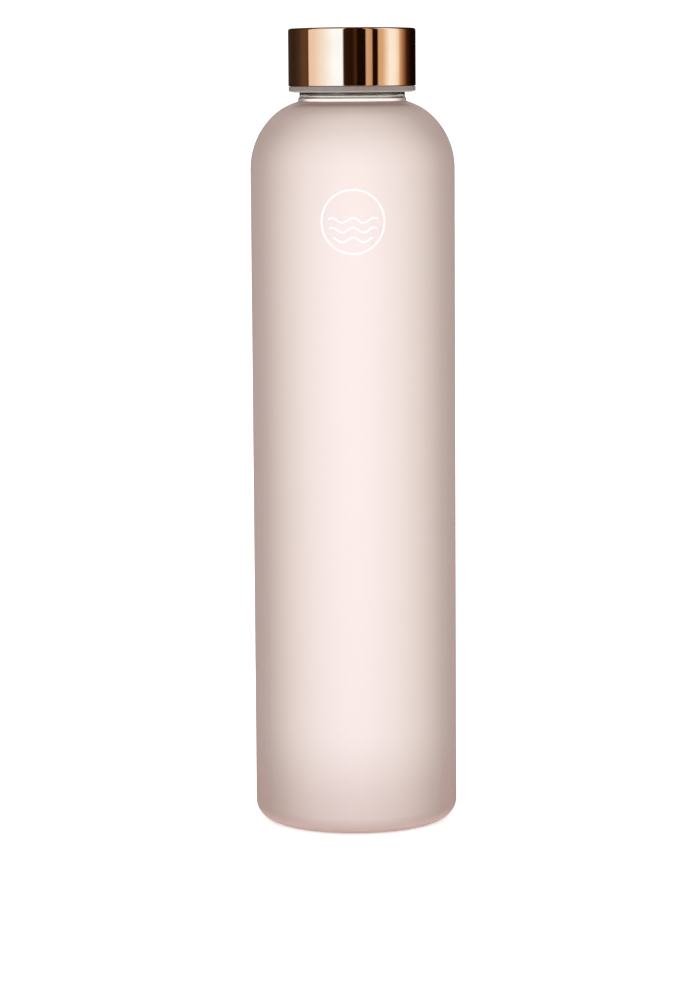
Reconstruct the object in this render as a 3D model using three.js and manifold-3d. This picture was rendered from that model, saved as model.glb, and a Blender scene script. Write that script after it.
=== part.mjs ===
// A 750 ml frosted glass water bottle with a metal-clad screw cap.
//
// Millimetres, +Z up. The origin is the centre of the resting ring, on the plane the bottle stands on.
// The bottle's front, where its printed mark goes, faces -Y.
//
// Four pieces: the glass body with its threaded neck, and a cap made of a drawn metal shell,
// a moulded threaded liner pressed into it, and a silicone sealing ring held inside the liner.

import * as THREE from "three";
import { mergeVertices } from "three/addons/utils/BufferGeometryUtils.js";
import Module from "manifold-3d";

const wasm = await Module();
wasm.setup();

// ---------------------------------------------------------------- driving dimensions

const overallHeight = 270; // closed bottle, resting plane to the top of the cap's crown
const bodyRadius = 34.5;
const wallThickness = 2.2;
const heelRadius = 6.3; // round edge between the base and the side wall
const innerHeelRadius = 5.3;
const shoulderRadius = 24.6; // the shoulder leaves the side wall tangentially on this arc
const shoulderStart = 222.6; // height at which it does
const shoulderTopRadius = 20; // its upper part bends a little tighter
const shoulderTopFrom = Math.PI / 4; // angle up the first arc at which the second takes over
const restingRingInner = 25.4;
const puntDepth = 3.0; // hollow under the base
const floorThickness = 4.6; // glass left between the punt and the inside floor
const floorRise = 1.2; // of the inside floor, from its edge to its middle

const neckRadius = 17.8;
const neckWall = 2.4;
const neckFootRadius = 18.25; // the neck flares a little just above the shoulder
const neckFlareTop = 246.75;
const neckFlareFoot = 246.15;
const neckFillet = 0.35; // concave blend between the neck's foot and the shoulder
const boreStep = 0.6; // the bore widens by this below the pressed mouth
const boreStepTop = 248.6;
const boreStepFoot = 247.5;
const innerNeckFillet = 2.5; // the softer blend inside

const threadPitch = 25.4 / 6; // six threads to the inch
const threadBead = 1.1; // radius of the round thread ridges
const threadBelowRim = 2.3;
const glassThreadTurns = 1.75;
const linerThreadTurns = 1.6;
const threadClearance = 0.35;

const capRadius = 21.5;
const shellThickness = 0.4;
const shellHeight = 19.7;
const crownRise = 0.4; // the cap's top is very slightly domed
const shellEdgeRadius = 0.8;
const lipHeight = 2.0; // plastic ring that shows below the metal shell
const lipInset = 0.1; // of the lip's side behind the shell's
const barrelGap = 0.3; // between the liner's barrel and the shell, bridged by the grip ribs
const crownGap = 0.35; // between the liner's top and the shell's
const linerPlate = 1.5; // thickness of the liner's top
const sealThickness = 1.6;
const sealSideGap = 0.25;
const sealOverhang = 1.6; // of the sealing ring inside the bottle's mouth
const assemblyGap = 0.1; // left between pieces that touch in the closed cap

const facets = 48; // flat sides round every turned piece
const quarter = Math.PI / 2;

// ---------------------------------------------------------------- derived dimensions

const capBottom = overallHeight - shellHeight - lipHeight - assemblyGap;
const neckBore = neckRadius - neckWall;

const shellInnerRadius = capRadius - shellThickness;
const shellInnerTop = shellHeight - shellThickness - crownRise; // above the shell's lower edge, at its rim
const linerOuterRadius = shellInnerRadius - barrelGap;
const linerBore = neckRadius + threadBead + threadClearance;
const linerTop = lipHeight + assemblyGap + shellInnerTop - crownGap; // above the cap's bottom
const linerCeiling = linerTop - linerPlate;
const sealTop = linerCeiling - assemblyGap;
const sealBottom = sealTop - sealThickness;
const sealOuterRadius = linerBore - sealSideGap;
const sealInnerRadius = neckBore - sealOverhang;
const rimHeight = capBottom + sealBottom - assemblyGap; // top of the glass
const glassThreadBottom = rimHeight - threadBelowRim - glassThreadTurns * threadPitch;
const linerThreadBottom = glassThreadBottom - threadPitch / 2 - capBottom; // half a pitch out, so the ridges interleave

// ---------------------------------------------------------------- shape helpers

const at = (radius, height) => new THREE.Vector2(radius, height);

// Points along a circular arc of a turned profile, from one angle to another, in radians.
function arc(centreRadius, centreHeight, radius, from, to, steps) {
  const clockwise = to < from;
  return new THREE.EllipseCurve(centreRadius, centreHeight, radius, radius, from, to, clockwise).getPoints(steps);
}

// Points along a shallow dome, from the axis at its full height down to its edge.
function dome(edgeRadius, centreHeight, edgeHeight) {
  const middle = at(edgeRadius / 2, centreHeight);
  return new THREE.QuadraticBezierCurve(at(0, centreHeight), middle, at(edgeRadius, edgeHeight)).getPoints(3);
}

// Turns a profile about +Z. The profile runs anticlockwise in the (radius, height) plane.
function turned(profile) {
  const geometry = new THREE.LatheGeometry(profile, facets);
  geometry.rotateX(quarter);
  return geometry;
}

// A right-hand helix. Over its first and last tenth of a turn it moves by dive, into the wall its ridge grows from.
class ThreadPath extends THREE.Curve {
  constructor(radius, bottom, turns, dive) {
    super();
    Object.assign(this, { radius, bottom, turns, dive });
  }

  getPoint(t, target = new THREE.Vector3()) {
    const turn = t * this.turns;
    const runOut = 0.1;
    const fromEnd = Math.min(turn, this.turns - turn);
    const share = Math.max(0, 1 - fromEnd / runOut);
    const radius = this.radius + this.dive * share * share;
    const angle = turn * 2 * Math.PI;
    return target.set(radius * Math.cos(angle), radius * Math.sin(angle), this.bottom + turn * threadPitch);
  }
}

// A round thread ridge centred on the wall's surface. Its ends dive just deeper than the bead's own radius.
function threadRidge(radius, bottom, turns, inwards) {
  const stepsPerTurn = 40;
  const dive = (threadBead + 0.1) * inwards;
  const section = new THREE.Shape(new THREE.EllipseCurve(0, 0, threadBead, threadBead).getPoints(8).slice(0, -1));
  return new THREE.ExtrudeGeometry(section, {
    steps: Math.round(stepsPerTurn * turns),
    bevelEnabled: false,
    extrudePath: new ThreadPath(radius, bottom, turns, dive),
  });
}

function toSolid(geometry) {
  const bare = geometry.clone();
  bare.deleteAttribute("normal");
  bare.deleteAttribute("uv");
  const merged = mergeVertices(bare, 1e-4);
  return new wasm.Manifold(
    new wasm.Mesh({
      numProp: 3,
      vertProperties: merged.attributes.position.array,
      triVerts: new Uint32Array(merged.index.array),
    }),
  );
}

function toGeometry(solid) {
  const mesh = solid.getMesh();
  const geometry = new THREE.BufferGeometry();
  geometry.setAttribute("position", new THREE.BufferAttribute(mesh.vertProperties, mesh.numProp));
  geometry.setIndex(new THREE.BufferAttribute(mesh.triVerts, 1));
  geometry.computeVertexNormals();
  return geometry;
}

function named(name, geometry, material) {
  const mesh = new THREE.Mesh(geometry, material);
  mesh.name = name;
  return mesh;
}

// ---------------------------------------------------------------- materials

const frostedGlass = new THREE.MeshStandardMaterial({ color: 0xe8d5cc, roughness: 0.6, metalness: 0 });
const roseGold = new THREE.MeshStandardMaterial({ color: 0xd99f74, roughness: 0.12, metalness: 1 });
const naturalPlastic = new THREE.MeshStandardMaterial({ color: 0xa8a09b, roughness: 0.5, metalness: 0 });
const silicone = new THREE.MeshStandardMaterial({ color: 0xf1eeea, roughness: 0.7, metalness: 0 });

// ---------------------------------------------------------------- glass body

const shoulderAxis = bodyRadius - shoulderRadius;
const shoulderStepIn = shoulderRadius - shoulderTopRadius;
const shoulderTopAxis = shoulderAxis + shoulderStepIn * Math.cos(shoulderTopFrom);
const shoulderTopStart = shoulderStart + shoulderStepIn * Math.sin(shoulderTopFrom);

// The shoulder's two arcs, this deep under the outside, from the side wall up to the end angle.
function shoulderArcs(depth, end) {
  return [
    ...arc(shoulderAxis, shoulderStart, shoulderRadius - depth, 0, shoulderTopFrom, 6),
    ...arc(shoulderTopAxis, shoulderTopStart, shoulderTopRadius - depth, shoulderTopFrom, end, 4).slice(1),
  ];
}

// The concave blend that touches both a neck and the shoulder's upper arc: its centre, and the angle it starts at.
function shoulderBlend(neck, blend, depth) {
  const radius = neck + blend;
  const reach = shoulderTopRadius - depth + blend;
  const run = radius - shoulderTopAxis;
  const height = shoulderTopStart + Math.sqrt(reach ** 2 - run ** 2);
  return { radius, height, angle: Math.acos(run / reach) };
}

// One blown solid: punt, resting ring, heel, straight wall, shoulder, flared neck foot and neck with a round rim,
// then back down the inside at the wall's thickness to a thick, slightly raised floor.
function glassBody() {
  const rimRound = neckWall / 2;
  const innerRadius = bodyRadius - wallThickness;
  const innerNeckFoot = neckBore + boreStep;
  const floorCentre = puntDepth + floorThickness;
  const floorEdge = floorCentre - floorRise;
  const foot = shoulderBlend(neckFootRadius, neckFillet, 0);
  const innerFoot = shoulderBlend(innerNeckFoot, innerNeckFillet, wallThickness);

  const outside = [
    ...dome(restingRingInner, puntDepth, 0),
    ...arc(bodyRadius - heelRadius, heelRadius, heelRadius, -quarter, 0, 5),
    ...shoulderArcs(0, foot.angle),
    ...arc(foot.radius, foot.height, neckFillet, foot.angle + Math.PI, Math.PI, 3).slice(1),
    at(neckFootRadius, neckFlareFoot),
    at(neckRadius, neckFlareTop),
    ...arc(neckRadius - rimRound, rimHeight - rimRound, rimRound, 0, quarter, 3),
  ];
  const inside = [
    ...arc(neckBore + rimRound, rimHeight - rimRound, rimRound, quarter, Math.PI, 3).slice(1),
    at(neckBore, boreStepTop),
    at(innerNeckFoot, boreStepFoot),
    ...arc(innerFoot.radius, innerFoot.height, innerNeckFillet, Math.PI, innerFoot.angle + Math.PI, 3),
    ...shoulderArcs(wallThickness, innerFoot.angle).reverse().slice(1),
    ...arc(innerRadius - innerHeelRadius, floorEdge + innerHeelRadius, innerHeelRadius, 0, -quarter, 4),
    ...dome(innerRadius - innerHeelRadius, floorCentre, floorEdge).reverse().slice(1),
  ];
  const wall = toSolid(turned([...outside, ...inside]));
  const thread = toSolid(threadRidge(neckRadius, glassThreadBottom, glassThreadTurns, -1));
  return named("glass_body", toGeometry(wall.add(thread)), frostedGlass);
}

// ---------------------------------------------------------------- cap pieces, measured from the cap's bottom

// Drawn cup of sheet metal: domed crown, rounded top edge and a straight skirt.
function capShell() {
  const top = shellHeight - crownRise;
  const edgeCentre = capRadius - shellEdgeRadius;
  const innerEdge = shellEdgeRadius - shellThickness;
  const outside = [
    at(capRadius, 0),
    ...arc(edgeCentre, top - shellEdgeRadius, shellEdgeRadius, 0, quarter, 4),
    ...dome(edgeCentre, shellHeight, top).reverse().slice(1),
  ];
  const inside = [
    ...dome(edgeCentre, shellHeight - shellThickness, top - shellThickness),
    ...arc(edgeCentre, top - shellEdgeRadius, innerEdge, quarter, 0, 3).slice(1),
    at(shellInnerRadius, 0),
    at(capRadius, 0),
  ];
  const shell = named("cap_shell", turned([...outside, ...inside]), roseGold);
  shell.position.z = lipHeight + assemblyGap;
  return shell;
}

// The lip's rounded outer edge, above an underside that slopes up from the lip's foot.
function lipEdge(lipRadius, footRadius) {
  const slope = 0.27; // radians above level
  const round = 0.35;
  const run = lipRadius - round - footRadius;
  const height = (run * Math.sin(slope) + round) / Math.cos(slope);
  return arc(lipRadius - round, height, round, slope - quarter, 0, 3);
}

// Moulded liner: visible lip, ribbed barrel that grips the shell, internal thread, and a bead that keeps the
// sealing ring in place round a shallow centring boss.
function capLiner() {
  const boreChamfer = 0.4;
  const footWidth = 0.15; // of the narrow flat that the lip's underside starts from
  const topChamfer = 0.6;
  const keeperBead = 0.4;
  const keeperHeight = sealBottom - assemblyGap - keeperBead;
  const bossRadius = sealInnerRadius - 0.3;
  const bossDepth = sealThickness - 0.5;
  const bossDraft = 0.2;
  const mouth = linerBore + boreChamfer;
  const lipRadius = capRadius - lipInset;
  const profile = [
    at(mouth, 0),
    at(mouth + footWidth, 0),
    ...lipEdge(lipRadius, mouth + footWidth),
    at(lipRadius, lipHeight),
    at(linerOuterRadius, lipHeight),
    at(linerOuterRadius, linerTop - topChamfer),
    at(linerOuterRadius - topChamfer, linerTop),
    at(0, linerTop),
    at(0, linerCeiling - bossDepth),
    at(bossRadius - bossDraft, linerCeiling - bossDepth),
    at(bossRadius, linerCeiling),
    at(linerBore, linerCeiling),
    ...arc(linerBore, keeperHeight, keeperBead, quarter, 3 * quarter, 4),
    at(linerBore, boreChamfer),
    at(mouth, 0),
  ];
  const insideBarrel = linerOuterRadius - 0.3; // trims the ridge's outer half, which is buried in the barrel
  const core = turned([at(0, 0), at(insideBarrel, 0), at(insideBarrel, linerTop), at(0, linerTop)]);
  const ridge = threadRidge(linerBore, linerThreadBottom, linerThreadTurns, 1);
  let solid = toSolid(turned(profile)).add(toSolid(ridge).intersect(toSolid(core)));
  for (const rib of gripRibs()) solid = solid.add(toSolid(rib));
  return named("cap_liner", toGeometry(solid), naturalPlastic);
}

// Short upright ribs round the liner's barrel, which bite into the shell so that the two turn together.
function gripRibs() {
  const count = 24;
  const width = 0.7;
  const height = 12;
  const depth = 0.6;
  const reach = 0.16; // how far each stands proud of the barrel
  const aboveLip = 2;
  return Array.from({ length: count }, (_, i) => {
    const rib = new THREE.BoxGeometry(depth, width, height);
    rib.translate(linerOuterRadius + reach - depth / 2, 0, lipHeight + aboveLip + height / 2);
    rib.rotateZ(((i + 0.5) / count) * 2 * Math.PI);
    return rib;
  });
}

// Flat silicone washer with broken edges, pressed between the liner's ceiling and the glass rim.
function capSeal() {
  const edge = 0.25;
  const profile = [
    at(sealInnerRadius + edge, sealBottom),
    at(sealOuterRadius - edge, sealBottom),
    at(sealOuterRadius, sealBottom + edge),
    at(sealOuterRadius, sealTop - edge),
    at(sealOuterRadius - edge, sealTop),
    at(sealInnerRadius + edge, sealTop),
    at(sealInnerRadius, sealTop - edge),
    at(sealInnerRadius, sealBottom + edge),
    at(sealInnerRadius + edge, sealBottom),
  ];
  return named("cap_seal", turned(profile), silicone);
}

// ---------------------------------------------------------------- assembly

const cap = new THREE.Group();
cap.position.z = capBottom;
cap.add(capShell(), capLiner(), capSeal());

const bottle = new THREE.Group();
bottle.add(glassBody(), cap);

export default bottle;
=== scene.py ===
"""Looks for a frosted glass water bottle with a rose-gold screw cap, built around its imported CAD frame.

Units are metres, +Z up, the bottle's printed front faces -Y. Overall sizes come from the frame's boxes;
the constants below are the wall thicknesses, radii and thread that a box can't give.
"""

import math

import bpy
from mathutils import Matrix, Vector


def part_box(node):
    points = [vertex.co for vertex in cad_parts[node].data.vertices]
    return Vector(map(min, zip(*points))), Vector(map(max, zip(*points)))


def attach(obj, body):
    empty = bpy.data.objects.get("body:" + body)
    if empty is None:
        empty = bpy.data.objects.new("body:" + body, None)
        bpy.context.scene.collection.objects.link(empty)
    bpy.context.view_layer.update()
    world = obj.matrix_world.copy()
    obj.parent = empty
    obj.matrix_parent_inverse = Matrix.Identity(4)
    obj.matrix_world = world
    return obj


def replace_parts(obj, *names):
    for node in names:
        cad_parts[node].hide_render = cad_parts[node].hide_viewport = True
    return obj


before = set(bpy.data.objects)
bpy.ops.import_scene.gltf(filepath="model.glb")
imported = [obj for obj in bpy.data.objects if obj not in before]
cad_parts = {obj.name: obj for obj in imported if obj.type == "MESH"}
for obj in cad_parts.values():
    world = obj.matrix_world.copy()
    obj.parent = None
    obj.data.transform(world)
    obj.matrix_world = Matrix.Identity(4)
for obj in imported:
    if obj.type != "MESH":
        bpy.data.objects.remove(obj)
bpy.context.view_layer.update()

MM = 0.001
QUARTER = math.pi / 2

# ---------------------------------------------------------------- sizes

WALL = 2.2 * MM
HEEL_RADIUS = 6.3 * MM
SHOULDER_RADIUS = 24.6 * MM
SHOULDER_START = 222.6 * MM  # height at which the shoulder's arc leaves the straight wall
SHOULDER_TOP_RADIUS = 20.0 * MM  # the shoulder bends a little tighter over its upper part
SHOULDER_TOP_FROM = math.radians(45)
NECK_RADIUS = 17.8 * MM
NECK_WALL = 2.4 * MM
NECK_FOOT_RADIUS = 18.25 * MM  # the neck flares a little just above the shoulder
NECK_FLARE_TOP = 246.75 * MM
NECK_FLARE_FOOT = 246.15 * MM
NECK_FILLET = 0.35 * MM
INNER_NECK_FILLET = 2.5 * MM
BORE_STEP = 0.6 * MM  # the bore widens a little below the pressed mouth
BORE_STEP_TOP = 248.6 * MM
BORE_STEP_FOOT = 247.5 * MM
RESTING_RING_INNER = 25.4 * MM
PUNT_DEPTH = 3.0 * MM
FLOOR_THICKNESS = 4.6 * MM
FLOOR_SAG = 1.2 * MM  # the floor is this much lower at its edge than in the middle
INNER_HEEL_RADIUS = HEEL_RADIUS - 1 * MM
FROST_TOP = 246.15 * MM  # the coat stops here, and the neck above it is clear

THREAD_PITCH = 25.4 / 6 * MM
THREAD_HEIGHT = 1.1 * MM
THREAD_HALF_WIDTH = 1.3 * MM
THREAD_POINTEDNESS = 1.3  # 1 is a plain cosine ridge
THREAD_RUN_OUT = 0.1  # turns over which each end of the ridge fades into its wall
THREAD_BELOW_RIM = 2.3 * MM  # from the rim down to the end of the glass's ridge
THREAD_CLEARANCE = 0.35 * MM
GLASS_THREAD_TURNS = 1.75
LINER_THREAD_TURNS = 1.6
LINER_THREAD_LAG = 0.5  # turns, so that the liner's ridge runs between the glass's

SHELL_THICKNESS = 0.4 * MM
SHELL_EDGE = 0.8 * MM
SHELL_CURL = 0.2 * MM
CROWN_RISE = 0.4 * MM
LIP_HEIGHT = 2.0 * MM
LIP_SLOPE = 0.27  # of the lip's underside, in radians
BARREL_CLEARANCE = 0.3 * MM
BARREL_CHAMFER = 0.6 * MM
BORE_CHAMFER = 0.4 * MM
KEEPER = 0.4 * MM  # radius of the bead that keeps the seal in
BOSS_DEPTH = 1.1 * MM  # of the disc inside the cap that centres the seal
BOSS_BEND = 0.3 * MM
SEAL_WIDTH = 5.2 * MM
SEAL_BEND = 0.35 * MM
BOSS_CLEARANCE = 0.3 * MM
GAP = 0.1 * MM  # between the glass's rim, the seal and the liner

ROUND = 256  # segments round a turned piece
SHARP_FROM = math.radians(40)  # edges that bend more than this are shaded sharp
ON_AXIS = 1e-9  # a point nearer the axis than this is on it
SAME_WALL = 0.01 * MM  # radii closer than this belong to one wall

glass_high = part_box("glass_body")[1]
shell_low, shell_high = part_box("cap_shell")
liner_low, liner_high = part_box("cap_liner")
seal_low, seal_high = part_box("cap_seal")

BODY_RADIUS = glass_high.x
RIM_HEIGHT = glass_high.z
CAP_RADIUS = shell_high.x

# ---------------------------------------------------------------- mesh helpers


def arc(radius, height, bend, start, end, steps):
    """Points (radius, height) along an arc of radius bend from angle start to end, both ends included."""
    angles = [start + (end - start) * i / steps for i in range(steps + 1)]
    return [(radius + bend * math.cos(a), height + bend * math.sin(a)) for a in angles]


def dome(edge_radius, centre_height, edge_height):
    """Points along a shallow dome, from the axis out to its edge, level at the axis."""
    steps = 24
    rise = centre_height - edge_height
    shares = [i / steps for i in range(steps + 1)]
    return [(edge_radius * s, centre_height - rise * s * s) for s in shares]


def straight(start, end, steps):
    """Points along a straight stretch, without its two ends."""
    shares = [i / steps for i in range(1, steps)]
    return [(start[0] + (end[0] - start[0]) * s, start[1] + (end[1] - start[1]) * s) for s in shares]


def soft_step(start, end, steps):
    """Points on an S-shaped curve that leaves start and reaches end upright, both ends included."""
    shares = [i / steps for i in range(steps + 1)]
    eased = [s * s * (3 - 2 * s) for s in shares]
    return [
        (start[0] + (end[0] - start[0]) * e, start[1] + (end[1] - start[1]) * s)
        for s, e in zip(shares, eased)
    ]


def turned(name, outline, shape=None):
    """A mesh turned about +Z from an anticlockwise outline of (radius, height) points.

    The outline either starts and ends on the axis, or is closed from its last point back to its first.
    shape(angle, radius, height), if given, returns the radius to use there.
    """
    vertices, rings = [], []
    for radius, height in outline:
        if radius < ON_AXIS:
            rings.append([len(vertices)] * ROUND)
            vertices.append((0.0, 0.0, height))
            continue
        rings.append(list(range(len(vertices), len(vertices) + ROUND)))
        for i in range(ROUND):
            angle = 2 * math.pi * i / ROUND
            r = shape(angle, radius, height) if shape else radius
            vertices.append((r * math.cos(angle), r * math.sin(angle), height))
    on_axis = outline[0][0] < ON_AXIS and outline[-1][0] < ON_AXIS
    pairs = list(zip(rings, rings[1:])) + ([] if on_axis else [(rings[-1], rings[0])])
    faces = []
    for low, high in pairs:
        for i in range(ROUND):
            j = (i + 1) % ROUND
            corners = [low[i], low[j], high[j], high[i]]
            faces.append(list(dict.fromkeys(corners)))
    mesh = bpy.data.meshes.new(name)
    mesh.from_pydata(vertices, [], faces)
    mesh.validate()
    mesh.shade_smooth()
    mesh.set_sharp_from_angle(angle=SHARP_FROM)
    piece = bpy.data.objects.new(name, mesh)
    bpy.context.scene.collection.objects.link(piece)
    return piece


def thread_height(angle, height, bottom, turns):
    """How far a rounded right-hand thread ridge stands out of its wall at this place."""
    best = 0.0
    for lap in range(math.ceil(turns)):
        travelled = angle / (2 * math.pi) + lap
        if travelled > turns:
            continue
        off = abs(height - (bottom + travelled * THREAD_PITCH)) / THREAD_HALF_WIDTH
        run_out = min(1.0, min(travelled, turns - travelled) / THREAD_RUN_OUT)
        if off < 1:
            section = math.cos(off * QUARTER) ** THREAD_POINTEDNESS
            best = max(best, THREAD_HEIGHT * section * math.sin(run_out * QUARTER))
    return best


def assign_where(piece, material, test):
    """Adds a material and gives it to the faces that pass the test."""
    piece.data.materials.append(material)
    index = len(piece.data.materials) - 1
    for face in piece.data.polygons:
        if test(face):
            face.material_index = index


# ---------------------------------------------------------------- pieces


def build_glass():
    """The blown bottle, one closed wall: outside from the punt up to the rim, then back down the inside."""
    shoulder_axis = BODY_RADIUS - SHOULDER_RADIUS
    tighter = SHOULDER_RADIUS - SHOULDER_TOP_RADIUS
    top_axis = shoulder_axis + tighter * math.cos(SHOULDER_TOP_FROM)
    top_start = SHOULDER_START + tighter * math.sin(SHOULDER_TOP_FROM)
    thread_bottom = RIM_HEIGHT - THREAD_BELOW_RIM - GLASS_THREAD_TURNS * THREAD_PITCH

    def fillet(neck, bend, shoulder):
        """Centre radius, centre height and start angle of the concave blend between shoulder and neck."""
        centre = neck + bend
        reach = shoulder + bend
        run = centre - top_axis
        return centre, top_start + math.sqrt(reach**2 - run**2), math.acos(run / reach)

    def shoulder_arcs(depth, end):
        """The shoulder's two arcs, this deep under the outside, from the straight wall to the end angle."""
        lower = arc(shoulder_axis, SHOULDER_START, SHOULDER_RADIUS - depth, 0, SHOULDER_TOP_FROM, 24)
        return lower + arc(top_axis, top_start, SHOULDER_TOP_RADIUS - depth, SHOULDER_TOP_FROM, end, 20)[1:]

    neck_bore = NECK_RADIUS - NECK_WALL
    rim = NECK_WALL / 2
    out_centre, out_height, out_angle = fillet(NECK_FOOT_RADIUS, NECK_FILLET, SHOULDER_TOP_RADIUS)
    wide_bore = neck_bore + BORE_STEP
    in_centre, in_height, in_angle = fillet(wide_bore, INNER_NECK_FILLET, SHOULDER_TOP_RADIUS - WALL)
    heel_axis = BODY_RADIUS - WALL - INNER_HEEL_RADIUS
    floor_centre = PUNT_DEPTH + FLOOR_THICKNESS
    floor_edge = floor_centre - FLOOR_SAG

    heel = arc(BODY_RADIUS - HEEL_RADIUS, HEEL_RADIUS, HEEL_RADIUS, -QUARTER, 0, 24)
    shoulder = shoulder_arcs(0, out_angle)
    neck_blend = arc(out_centre, out_height, NECK_FILLET, out_angle + math.pi, math.pi, 12)
    flare = soft_step((NECK_FOOT_RADIUS, NECK_FLARE_FOOT), (NECK_RADIUS, NECK_FLARE_TOP), 10)
    rim_outside = arc(NECK_RADIUS - rim, RIM_HEIGHT - rim, rim, 0, QUARTER, 8)
    rim_inside = arc(neck_bore + rim, RIM_HEIGHT - rim, rim, QUARTER, math.pi, 8)
    bore_step = soft_step((neck_bore, BORE_STEP_TOP), (wide_bore, BORE_STEP_FOOT), 12)
    blend_inside = arc(in_centre, in_height, INNER_NECK_FILLET, math.pi, in_angle + math.pi, 24)
    shoulder_inside = shoulder_arcs(WALL, in_angle)[::-1]
    heel_inside = arc(heel_axis, floor_edge + INNER_HEEL_RADIUS, INNER_HEEL_RADIUS, 0, -QUARTER, 16)

    outline = [
        *dome(RESTING_RING_INNER, PUNT_DEPTH, 0),
        *heel,
        *straight(heel[-1], shoulder[0], 8),
        *shoulder,
        *neck_blend[1:],
        *flare,
        *straight(flare[-1], rim_outside[0], 96),
        *rim_outside,
        *rim_inside[1:],
        *straight(rim_inside[-1], bore_step[0], 8),
        *bore_step,
        *blend_inside,
        *shoulder_inside[1:],
        *straight(shoulder_inside[-1], heel_inside[0], 8),
        *heel_inside,
        *dome(heel_axis, floor_centre, floor_edge)[::-1][1:],
    ]

    def with_thread(angle, radius, height):
        if radius < NECK_RADIUS - SAME_WALL or height < thread_bottom - THREAD_HALF_WIDTH:
            return radius
        return radius + thread_height(angle, height, thread_bottom, GLASS_THREAD_TURNS)

    piece = turned("bottle_glass", outline, with_thread)
    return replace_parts(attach(piece, "bottle"), "glass_body")


def build_shell():
    """The drawn metal cup, with a rounded top edge and a slightly domed crown."""
    top = shell_high.z - CROWN_RISE
    inner = CAP_RADIUS - SHELL_THICKNESS
    corner = CAP_RADIUS - SHELL_EDGE
    outside = [
        (inner, shell_low.z),
        *arc(CAP_RADIUS - SHELL_CURL, shell_low.z + SHELL_CURL, SHELL_CURL, -QUARTER, 0, 6),
        *arc(corner, top - SHELL_EDGE, SHELL_EDGE, 0, QUARTER, 14),
        *dome(corner, shell_high.z, top)[::-1][1:],
    ]
    inside = [
        *dome(corner, shell_high.z - SHELL_THICKNESS, top - SHELL_THICKNESS),
        *arc(corner, top - SHELL_EDGE, SHELL_EDGE - SHELL_THICKNESS, QUARTER, 0, 8)[1:],
    ]
    piece = turned("cap_metal_shell", outside + inside)
    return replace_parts(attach(piece, "cap"), "cap_shell")


def lip_edge(lip, foot, bottom):
    """The lip's rounded outer edge, above an underside that slopes up from the lip's foot."""
    bend = 0.35 * MM
    run = lip - bend - foot
    height = (run * math.sin(LIP_SLOPE) + bend) / math.cos(LIP_SLOPE)
    return arc(lip - bend, bottom + height, bend, LIP_SLOPE - QUARTER, 0, 8)


def build_liner():
    """The moulded insert: lip, barrel, ceiling with a centring boss, seal keeper and internal thread."""
    barrel = CAP_RADIUS - SHELL_THICKNESS - BARREL_CLEARANCE
    bore = NECK_RADIUS + THREAD_HEIGHT + THREAD_CLEARANCE
    lip = liner_high.x
    top_round = 0.15 * MM
    flat = 0.15 * MM  # the narrow level ring between the bore's chamfer and the lip's slope
    foot = bore + BORE_CHAMFER + flat
    bottom = liner_low.z
    ceiling = seal_high.z + GAP
    boss = seal_high.x - SEAL_WIDTH - BOSS_CLEARANCE
    keeper_height = seal_low.z - GAP - KEEPER
    thread_top = keeper_height - KEEPER
    lag = (GLASS_THREAD_TURNS + LINER_THREAD_LAG) * THREAD_PITCH
    thread_bottom = RIM_HEIGHT - THREAD_BELOW_RIM - lag
    outside = [
        (bore + BORE_CHAMFER, bottom),
        (foot, bottom),
        *lip_edge(lip, foot, bottom),
        *arc(lip - top_round, bottom + LIP_HEIGHT - top_round, top_round, 0, QUARTER, 4),
        (barrel, bottom + LIP_HEIGHT),
        (barrel, liner_high.z - BARREL_CHAMFER),
        (barrel - BARREL_CHAMFER, liner_high.z),
        (0.0, liner_high.z),
    ]
    inside = [
        (0.0, ceiling - BOSS_DEPTH),
        *arc(boss - BOSS_BEND, ceiling - BOSS_DEPTH + BOSS_BEND, BOSS_BEND, -QUARTER, 0, 4),
        (boss, ceiling),
        (bore, ceiling),
        *arc(bore, keeper_height, KEEPER, QUARTER, 3 * QUARTER, 8),
        *straight((bore, thread_top), (bore, bottom + BORE_CHAMFER), 110),
        (bore, bottom + BORE_CHAMFER),
    ]

    def with_thread(angle, radius, height):
        if abs(radius - bore) > SAME_WALL or height > thread_top:
            return radius
        return radius - thread_height(angle, height, thread_bottom, LINER_THREAD_TURNS)

    piece = turned("cap_plastic_liner", outside + inside, with_thread)
    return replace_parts(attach(piece, "cap"), "cap_liner")


def build_seal():
    """The flat silicone washer with softly rounded edges."""
    outer = seal_high.x - SEAL_BEND
    inner = seal_high.x - SEAL_WIDTH + SEAL_BEND
    low = seal_low.z + SEAL_BEND
    high = seal_high.z - SEAL_BEND
    corners = [(outer, low, -QUARTER), (outer, high, 0), (inner, high, QUARTER), (inner, low, math.pi)]
    outline = []
    for radius, height, start in corners:
        outline += arc(radius, height, SEAL_BEND, start, start + QUARTER, 6)
    piece = turned("cap_sealing_ring", outline)
    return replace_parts(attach(piece, "seal"), "cap_seal")


MARK_HEIGHT = 206 * MM  # of the mark's centre
MARK_RADIUS = 10.5 * MM
MARK_LINE = 0.45 * MM
INK = 0.03 * MM  # how far the ink stands out of the glass, and reaches into it
WAVE_LEVELS = (0.5 * MM, -2.7 * MM, -5.9 * MM)  # from the mark's centre
WAVE_HEIGHT = 0.8 * MM
WAVE_LENGTH = 7.0 * MM
WAVE_MARGIN = 2.2 * MM  # between a wave's end and the ring


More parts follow.
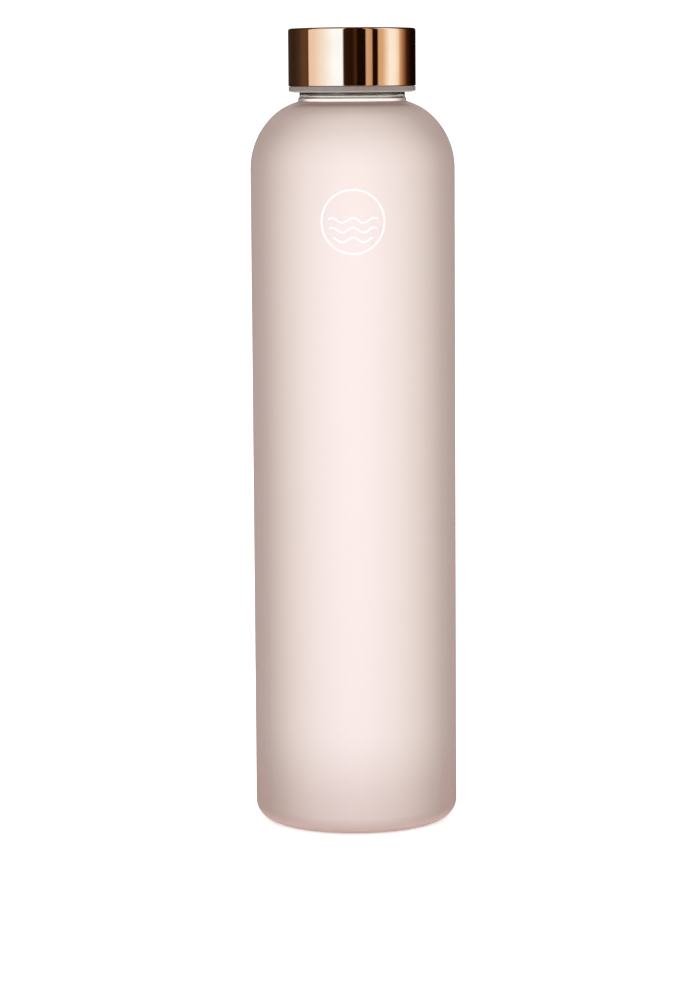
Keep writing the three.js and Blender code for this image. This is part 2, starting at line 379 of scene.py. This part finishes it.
def ribbon(mesh_parts, path, closed):
    """Adds a thin printed line along a path of (across, up) places, wrapped round the bottle's front."""
    vertices, faces = mesh_parts
    first = len(vertices)
    count = len(path)
    for i, (across, up) in enumerate(path):
        before = path[i - 1] if closed or i else path[i]
        after = path[(i + 1) % count] if closed or i < count - 1 else path[i]
        along = Vector((after[0] - before[0], after[1] - before[1])).normalized() * MARK_LINE / 2
        for side, depth in ((-1, -INK), (-1, INK), (1, INK), (1, -INK)):
            angle = (across - side * along.y) / BODY_RADIUS
            r = BODY_RADIUS + depth
            vertices.append((r * math.sin(angle), -r * math.cos(angle), MARK_HEIGHT + up + side * along.x))
    for i in range(count if closed else count - 1):
        here, there = first + 4 * i, first + 4 * ((i + 1) % count)
        faces += [(here + k, there + k, there + (k + 1) % 4, here + (k + 1) % 4) for k in range(4)]
    if not closed:
        last = first + 4 * (count - 1)
        faces += [(first, first + 1, first + 2, first + 3), (last + 3, last + 2, last + 1, last)]


def build_mark():
    """A plain water sign in white lines: a ring with three waves across its lower half."""
    parts = ([], [])
    steps = 96
    turns = [2 * math.pi * i / steps for i in range(steps)]
    ring = [(MARK_RADIUS * math.cos(a), MARK_RADIUS * math.sin(a)) for a in turns]
    ribbon(parts, ring, closed=True)
    half_steps = 40
    for level in WAVE_LEVELS:
        half = math.sqrt(MARK_RADIUS**2 - level**2) - WAVE_MARGIN
        across = [half * (i / half_steps - 1) for i in range(2 * half_steps + 1)]
        wave = [(x, level + WAVE_HEIGHT * math.cos(2 * math.pi * x / WAVE_LENGTH)) for x in across]
        ribbon(parts, wave, closed=False)
    mesh = bpy.data.meshes.new("printed_mark")
    mesh.from_pydata(parts[0], [], parts[1])
    mesh.validate()
    piece = bpy.data.objects.new("printed_mark", mesh)
    bpy.context.scene.collection.objects.link(piece)
    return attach(piece, "bottle")


# ---------------------------------------------------------------- materials


class Nodes:
    """Short ways to add and link shader nodes in one material or world."""

    def __init__(self, tree):
        self.tree = tree
        tree.nodes.clear()

    def add(self, kind, settings=None, **inputs):
        """A node with its settings and its inputs: values or sockets, by name with _ for a space."""
        node = self.tree.nodes.new(kind)
        for key, value in (settings or {}).items():
            setattr(node, key, value)
        for key, value in inputs.items():
            self.feed(node.inputs[key.replace("_", " ")], value)
        return node

    def feed(self, socket, value):
        """Links a socket, or sets a value. A colour may leave out its alpha."""
        if isinstance(value, bpy.types.NodeSocket):
            self.tree.links.new(value, socket)
        elif socket.type == "RGBA" and len(value) == 3:
            socket.default_value = (*value, 1)
        else:
            socket.default_value = value

    def maths(self, operation, a, b=0.0):
        node = self.add("ShaderNodeMath", {"operation": operation})
        self.feed(node.inputs[0], a)
        self.feed(node.inputs[1], b)
        return node.outputs[0]

    def mix_colour(self, share, a, b, blend="MIX"):
        """A colour between a and b. A Mix node's colour sockets are inputs 6 and 7 and output 2."""
        node = self.add("ShaderNodeMix", {"data_type": "RGBA", "blend_type": blend})
        self.feed(node.inputs["Factor"], share)
        self.feed(node.inputs[6], a)
        self.feed(node.inputs[7], b)
        return node.outputs[2]

    def mix_shader(self, share, a, b):
        node = self.add("ShaderNodeMixShader")
        self.feed(node.inputs[0], share)
        self.feed(node.inputs[1], a)
        self.feed(node.inputs[2], b)
        return node.outputs[0]

    def ramp(self, value, stops):
        """Colours along value: stops are (place, colour), 32 of them at most."""
        node = self.add("ShaderNodeValToRGB", Fac=value)
        points = node.color_ramp.elements
        while len(points) < len(stops):
            points.new(1.0)
        for point, (place, colour) in zip(points, stops):
            point.position = place
            point.color = (*colour, 1)
        return node.outputs["Color"]

    def smooth(self, value, start, end, low=0.0, high=1.0):
        """low before start, high after end, and a smooth step between them."""
        node = self.add("ShaderNodeMapRange", {"interpolation_type": "SMOOTHSTEP"}, Value=value)
        for key, number in (("From Min", start), ("From Max", end), ("To Min", low), ("To Max", high)):
            self.feed(node.inputs[key], number)
        return node.outputs["Result"]

    def facing(self):
        """0 where the surface faces the viewer, 1 where it is seen edge-on."""
        return self.add("ShaderNodeLayerWeight", Blend=0.5).outputs["Facing"]

    def place(self):
        """The place in the piece, in metres, as one vector."""
        return self.add("ShaderNodeTexCoord").outputs["Object"]

    def axes(self):
        """The place in the piece, in metres, as separate X, Y and Z."""
        return self.add("ShaderNodeSeparateXYZ", Vector=self.place()).outputs

    def grain(self, size, low, high, detail=2.0):
        """Soft random variation between low and high, with features about this big."""
        noise = self.add("ShaderNodeTexNoise", Vector=self.place(), Scale=1 / size, Detail=detail)
        usual = (0.3, 0.7)  # the noise seldom leaves this span
        return self.smooth(noise.outputs["Fac"], *usual, low, high)

    def surface(self, shader):
        output = self.add("ShaderNodeOutputMaterial")
        self.feed(output.inputs["Surface"], shader)


def linear(red, green, blue):
    """A colour given as ordinary 0 to 255 screen values, as the linear numbers that shaders take."""
    shares = [c / 255 for c in (red, green, blue)]
    return tuple(c / 12.92 if c <= 0.04045 else ((c + 0.055) / 1.055) ** 2.4 for c in shares)


def new_material(name):
    material = bpy.data.materials.new(name)
    material.use_nodes = True
    return material, Nodes(material.node_tree)


def scaled(colour, by):
    return tuple(c * by for c in colour)


COAT_GAIN = 0.93  # the studio's light is a little over 1, so that this comes back to full brightness
GLOW_SHARE = 0.28  # of the light that the coat passes on through, instead of sending it back
COAT_RIM_PAINTED_LIGHT = (1.5, 1.35, 1.3)  # over 1: a painted light along the coat's top edge, brighter than white


def frosted_coat():
    """Sprayed frost on glass: milky pink, darker and deeper where the view grazes it, partly its own colour
    and partly painted shade.

    It has painted shade over the lower shoulder and painted light over the upper one. Round the heel it is
    darker and pinker, painted shade with the deeper pink of the thick glass, and a painted light lifts its
    foot towards pink. Under the cap it has painted shade where it faces the viewer and painted light where
    it is seen edge-on, and a painted light, brighter than white, along its top edge.
    """
    material, n = new_material("frosted_pink_coat")
    facing = n.facing()
    # Darker and deeper pink towards the edges: partly the coat's own colour seen through more of it, partly
    # painted shade on the sides.
    pink_and_painted_shade_by_facing = [  # from face-on to edge-on
        (0.0, linear(255, 241, 238)),
        (0.05, linear(248, 234, 231)),
        (0.1, linear(243, 229, 224)),
        (0.2, linear(231, 216, 209)),
        (0.35, linear(211, 196, 188)),
        (0.5, linear(193, 175, 168)),
        (0.62, linear(187, 168, 161)),
        (1.0, linear(189, 167, 161)),
    ]
    tint = n.ramp(facing, [(place, scaled(colour, COAT_GAIN)) for place, colour in pink_and_painted_shade_by_facing])
    height = n.axes()["Z"]

    def between(start, end, low=0.0, high=1.0):
        """How far a place is from one height to another, up or down, with both in millimetres."""
        return n.smooth(height, start * MM, end * MM, low, high)

    def tinted(share, factor):
        return n.mix_colour(share, tint, n.mix_colour(1.0, tint, factor, "MULTIPLY"))

    # Painted shade: a little darker over the lower shoulder.
    painted_shade_lower_shoulder = between(200, 235)
    tint = tinted(painted_shade_lower_shoulder, (0.975, 0.965, 0.955))
    # Painted light: lighter over the upper shoulder, below the cap.
    painted_light_upper_shoulder = between(234, 242)
    tint = tinted(painted_light_upper_shoulder, (1.12, 1.13, 1.14))
    # Darker and pinker towards the heel, most where it faces the viewer: painted shade, together with the
    # deeper pink of the thick glass there.
    heel_painted_shade_and_pink = n.mix_colour(n.smooth(facing, 0.3, 0.7), (0.815, 0.77, 0.755), (0.99, 0.91, 0.89))
    heel = between(37, 4)
    tint = tinted(heel, heel_painted_shade_and_pink)
    # Under the cap's overhang: painted shade where the coat faces the viewer, painted light where it is
    # seen edge-on.
    crease_painted_shading_tone = n.mix_colour(n.smooth(facing, 0.73, 0.85), (0.68, 0.65, 0.63), (1.15, 1.15, 1.15))
    crease_painted_shading = n.maths("SUBTRACT", between(242.9, 244.2), between(244.4, 244.8))
    tint = tinted(crease_painted_shading, crease_painted_shading_tone)
    # Towards the foot, a painted light lifts the floor-shaded underside, in a pink tone that also stands
    # for the thick glass there.
    foot = between(6, 1, 0, 0.6)
    tint = n.mix_colour(foot, tint, (0.84, 0.64, 0.60))
    # Painted light along the coat's top edge, where it faces the viewer, in the shade of the cap's
    # overhang.
    painted_light_top_edge = n.maths("MULTIPLY", between(244.2, 244.75), between(246.15, 245.95))
    painted_light_top_edge = n.maths("MULTIPLY", painted_light_top_edge, n.smooth(facing, 0.65, 0.3))
    tint = n.mix_colour(painted_light_top_edge, tint, COAT_RIM_PAINTED_LIGHT)
    speckle = n.grain(0.5 * MM, 0, 1, 4.0)
    tint = tinted(speckle, (0.985, 0.985, 0.985))
    rough = n.grain(0.4 * MM, 0.45, 0.6)
    coat = n.add("ShaderNodeBsdfPrincipled", Base_Color=tint, Roughness=rough, Specular_IOR_Level=0.1)
    glow = n.add("ShaderNodeBsdfTranslucent", Color=tint)
    n.surface(n.mix_shader(GLOW_SHARE, coat.outputs[0], glow.outputs[0]))
    return material


def clear_glass():
    """Soda-lime glass with the faint waviness of a blown wall, and a painted shade where the view grazes
    it.
    """
    material, n = new_material("clear_glass")
    waves = n.add("ShaderNodeBump", Strength=0.15, Distance=0.05 * MM, Height=n.grain(6 * MM, 0, 1, 1.0))
    # Painted shade: the glass is tinted dark where it is seen edge-on.
    tone = n.mix_colour(n.smooth(n.facing(), 0.2, 0.7), (0.97, 0.98, 0.975), (0.42, 0.39, 0.37))
    glass = n.add(
        "ShaderNodeBsdfPrincipled",
        Base_Color=tone,
        Roughness=0.0,
        IOR=1.5,
        Transmission_Weight=0.97,
        Specular_Tint=(1.0, 0.6, 0.35),
        Normal=waves.outputs["Normal"],
    )
    n.surface(glass.outputs[0])
    return material


def metal_surface(n, tone, metallic, polish, edge_tint):
    """Ends a metal's material; edge_tint colours it where it is seen edge-on."""
    metal = n.add("ShaderNodeBsdfPrincipled", Base_Color=tone, Metallic=metallic, Roughness=polish)
    n.feed(metal.inputs["Specular Tint"], edge_tint)
    n.surface(metal.outputs[0])


def rose_gold():
    """Polished and anodised sheet metal, a shade uneven, with a painted shade where the view grazes it."""
    material, n = new_material("rose_gold_mirror")
    tone = n.mix_colour(n.grain(8 * MM, 0, 1), (0.95, 0.50, 0.27), (0.92, 0.475, 0.25))
    # Painted shade: the metal's colour turns dark red-brown where it is seen edge-on.
    tone = n.mix_colour(n.smooth(n.facing(), 0.3, 0.6), tone, (0.55, 0.17, 0.06))
    metal_surface(n, tone, 1.0, n.grain(2 * MM, 0.015, 0.035), (0.92, 0.75, 0.65))
    return material


def satin_crown():
    """The same metal on the cap's crown, where it is satin and so keeps its colour from every side."""
    material, n = new_material("rose_gold_satin")
    tone = n.mix_colour(n.grain(8 * MM, 0, 1), (0.78, 0.46, 0.30), (0.74, 0.43, 0.28))
    metal_surface(n, tone, 0.45, n.grain(0.5 * MM, 0.28, 0.36), (0.75, 0.50, 0.35))
    return material


def liner_plastic():
    """Natural polypropylene: milky inside the cap; on the lip a dark painted shade, with a painted
    highlight along the lip's underside.
    """
    material, n = new_material("natural_plastic")
    place = n.axes()
    across = n.maths("MULTIPLY", place["X"], place["X"])
    deep = n.maths("MULTIPLY", place["Y"], place["Y"])
    radius = n.maths("SQRT", n.maths("ADD", across, deep))
    # On the lip's outside, a painted shade in place of the milky plastic's own paleness.
    lip = n.smooth(radius, 19.4 * MM, 19.9 * MM)
    # Painted highlight along the lip's underside, where it catches light from the coat below.
    painted_highlight_under_lip = n.smooth(place["Z"], 248.85 * MM, 248.5 * MM)
    milky = n.mix_colour(n.grain(1.5 * MM, 0, 1), linear(225, 221, 215), linear(214, 209, 204))
    painted_shade_lip_tone = n.mix_colour(n.grain(1.5 * MM, 0, 1), linear(134, 122, 116), linear(126, 115, 110))
    painted_shade_lip_tone = n.mix_colour(painted_highlight_under_lip, painted_shade_lip_tone, linear(190, 178, 170))
    tone = n.mix_colour(lip, milky, painted_shade_lip_tone)
    plastic = n.add("ShaderNodeBsdfPrincipled", Base_Color=tone, Roughness=0.4, Specular_IOR_Level=0.3)
    n.surface(plastic.outputs[0])
    return material


def silicone():
    material, n = new_material("milky_silicone")
    tone = n.mix_colour(n.grain(1 * MM, 0, 1), linear(243, 240, 236), linear(233, 230, 226))
    rubber = n.add("ShaderNodeBsdfPrincipled", Base_Color=tone, Roughness=n.grain(0.6 * MM, 0.55, 0.7))
    n.surface(rubber.outputs[0])
    return material


def white_ink():
    """Screen-printed ink, very slightly uneven in cover."""
    material, n = new_material("white_ink")
    tone = n.mix_colour(n.grain(0.3 * MM, 0, 1), (0.95, 0.90, 0.86), (0.92, 0.87, 0.83))
    ink = n.add("ShaderNodeBsdfPrincipled", Base_Color=tone, Roughness=0.6, Specular_IOR_Level=0.1)
    n.surface(ink.outputs[0])
    return material


# ---------------------------------------------------------------- assembly

glass = build_glass()
shell = build_shell()
liner = build_liner()
seal = build_seal()
mark = build_mark()


def is_coated(face):
    """True on the frosted skin: faces below the frost line that look outwards, and the punt underneath."""
    looks_out = face.center.x * face.normal.x + face.center.y * face.normal.y > 0
    return face.center.z < FROST_TOP and (looks_out or face.center.z < PUNT_DEPTH)


def is_crown(face):
    """True on the crown's outer skin, which is nearly level, inside the cap's rounded edge."""
    nearly_level = 0.999
    return face.normal.z > nearly_level


glass.data.materials.append(clear_glass())
assign_where(glass, frosted_coat(), is_coated)
shell.data.materials.append(rose_gold())
assign_where(shell, satin_crown(), is_crown)
liner.data.materials.append(liner_plastic())
seal.data.materials.append(silicone())
mark.data.materials.append(white_ink())

# ---------------------------------------------------------------- studio


def add_camera():
    """A long lens slightly above the shoulder, looking down at the bottle by about seven degrees."""
    distance = 1.150
    height = 0.252
    pitch = 0.12103
    yaw = -0.0045
    roll = -0.0068
    lens = 123.7
    data = bpy.data.cameras.new("camera")
    data.sensor_fit = "AUTO"
    data.sensor_width = 36.0
    data.lens = lens
    camera = bpy.data.objects.new("camera", data)
    turn = Matrix.Rotation(-yaw, 4, "Z")
    turn = turn @ Matrix.Rotation(QUARTER - pitch, 4, "X") @ Matrix.Rotation(roll, 4, "Z")
    camera.matrix_world = Matrix.Translation((0, -distance, height)) @ turn
    bpy.context.scene.collection.objects.link(camera)
    bpy.context.scene.camera = camera


STUDIO_LIGHT = 1.30
FLOOR_GLOW = 0.35  # the pale floor is a light table, so shadows on it stay faint
PANEL_PEAK = 3.5

# The studio round the bottle as the polished cap mirrors it: lit panels with dark flags between them.
# Each stop is (degrees round from the camera's side towards +X, light), and the light runs evenly from
# one stop to the next.
PANELS = [
    (-180, (0.90, 0.95, 1.00)),
    (-174, (0.90, 0.95, 1.00)),
    (-171, (0.06, 0.07, 0.08)),
    (-108, (0.07, 0.08, 0.08)),
    (-104, (0.12, 0.09, 0.07)),
    (-88, (0.12, 0.09, 0.05)),
    (-86, (0.02, 0.01, 0.00)),
    (-84, (0.88, 1.10, 1.40)),
    (-72, (0.90, 1.15, 1.45)),
    (-32, (1.06, 1.95, 3.30)),
    (-17, (1.06, 1.95, 3.40)),
    (-15, (0.03, 0.02, 0.015)),
    (0, (0.02, 0.01, 0.005)),
    (7, (0.06, 0.04, 0.025)),
    (10, (0.01, 0.005, 0.0)),
    (24, (0.01, 0.005, 0.0)),
    (26, (0.72, 0.72, 0.68)),
    (36, (0.60, 0.57, 0.50)),
    (38, (0.015, 0.005, 0.0)),
    (47, (0.015, 0.005, 0.0)),
    (49, (0.66, 0.68, 0.62)),
    (57, (0.74, 0.72, 0.62)),
    (72, (1.06, 1.65, 2.40)),
    (82, (1.05, 1.65, 2.40)),
    (92, (1.00, 1.30, 1.60)),
    (97, (0.68, 0.68, 0.60)),
    (105, (0.41, 0.34, 0.25)),
    (117, (0.07, 0.045, 0.03)),
    (135, (0.01, 0.006, 0.006)),
    (171, (0.01, 0.006, 0.006)),
    (174, (0.90, 0.95, 1.00)),
    (180, (0.90, 0.95, 1.00)),
]

CEILING = (0.04, 0.03, 0.025)
WALL_TOP = (0.78, 0.9)  # the walls give way to the ceiling between these sines of the elevation
CORNER_DEPTH = 0.25  # how much a corner between two white walls darkens the light seen through glass
STEEP = (0.2, 0.6)  # over these sines of the elevation that light falls off, from full
STEEP_LIGHT = 0.4  # to this share


def add_world():
    """Even white light on everything, seen plain by the camera; mirrors see the panels and flags instead.

    Through clear glass, the corners between four white walls and the ceiling look darker, which draws its
    edges.
    """
    world = bpy.data.worlds.new("studio")
    bpy.context.scene.world = world
    world.use_nodes = True
    n = Nodes(world.node_tree)
    way = n.add("ShaderNodeSeparateXYZ", Vector=n.add("ShaderNodeTexCoord").outputs["Generated"])
    towards_camera = n.maths("MULTIPLY", way.outputs["Y"], -1.0)
    turn = n.maths("ARCTAN2", way.outputs["X"], towards_camera)
    share = n.maths("ADD", n.maths("MULTIPLY", turn, 0.5 / math.pi), 0.5)
    stops = [(0.5 + degrees / 360, scaled(light, 1 / PANEL_PEAK)) for degrees, light in PANELS]
    walls = n.ramp(share, stops)
    up = way.outputs["Z"]
    room = n.mix_colour(n.smooth(up, *WALL_TOP), walls, scaled(CEILING, 1 / PANEL_PEAK))
    corners = n.maths("MULTIPLY", n.maths("COSINE", n.maths("MULTIPLY", turn, 4.0)), CORNER_DEPTH)
    steepness = n.smooth(n.maths("ABSOLUTE", up), *STEEP, 1.0, STEEP_LIGHT)
    through = n.maths("MULTIPLY", n.maths("ADD", corners, 1 - CORNER_DEPTH), steepness)
    white = (1, 1, 1)
    mirrored = n.add("ShaderNodeBackground", Color=room, Strength=PANEL_PEAK)
    even = n.add("ShaderNodeBackground", Color=white, Strength=STUDIO_LIGHT)
    dimmed = n.maths("MULTIPLY", through, STUDIO_LIGHT)
    seen_through = n.add("ShaderNodeBackground", Color=white, Strength=dimmed)
    path = n.add("ShaderNodeLightPath").outputs
    not_through_glass = n.maths("SUBTRACT", 1.0, path["Is Transmission Ray"])
    is_mirrored = n.maths("MULTIPLY", path["Is Glossy Ray"], not_through_glass)
    shader = n.mix_shader(path["Is Transmission Ray"], even.outputs[0], seen_through.outputs[0])
    shader = n.mix_shader(is_mirrored, shader, mirrored.outputs[0])
    output = n.add("ShaderNodeOutputWorld")
    n.feed(output.inputs["Surface"], shader)


def add_floor():
    """A plain pale floor, wide enough to run off the picture, and not mirrored in the cap."""
    size = 3.0
    mesh = bpy.data.meshes.new("floor")
    corners = [(-size, -size, 0), (size, -size, 0), (size, size, 0), (-size, size, 0)]
    mesh.from_pydata(corners, [], [(0, 1, 2, 3)])
    floor = bpy.data.objects.new("floor", mesh)
    bpy.context.scene.collection.objects.link(floor)
    material, n = new_material("pale_floor")
    paper = n.add("ShaderNodeBsdfDiffuse", Color=(0.92, 0.92, 0.92))
    lit_from_below = n.add("ShaderNodeEmission", Strength=FLOOR_GLOW)
    both = n.add("ShaderNodeAddShader")
    n.feed(both.inputs[0], paper.outputs[0])
    n.feed(both.inputs[1], lit_from_below.outputs[0])
    n.surface(both.outputs[0])
    mesh.materials.append(material)
    floor.visible_glossy = False


add_camera()
add_world()
add_floor()
bpy.context.scene.view_settings.view_transform = "Standard"
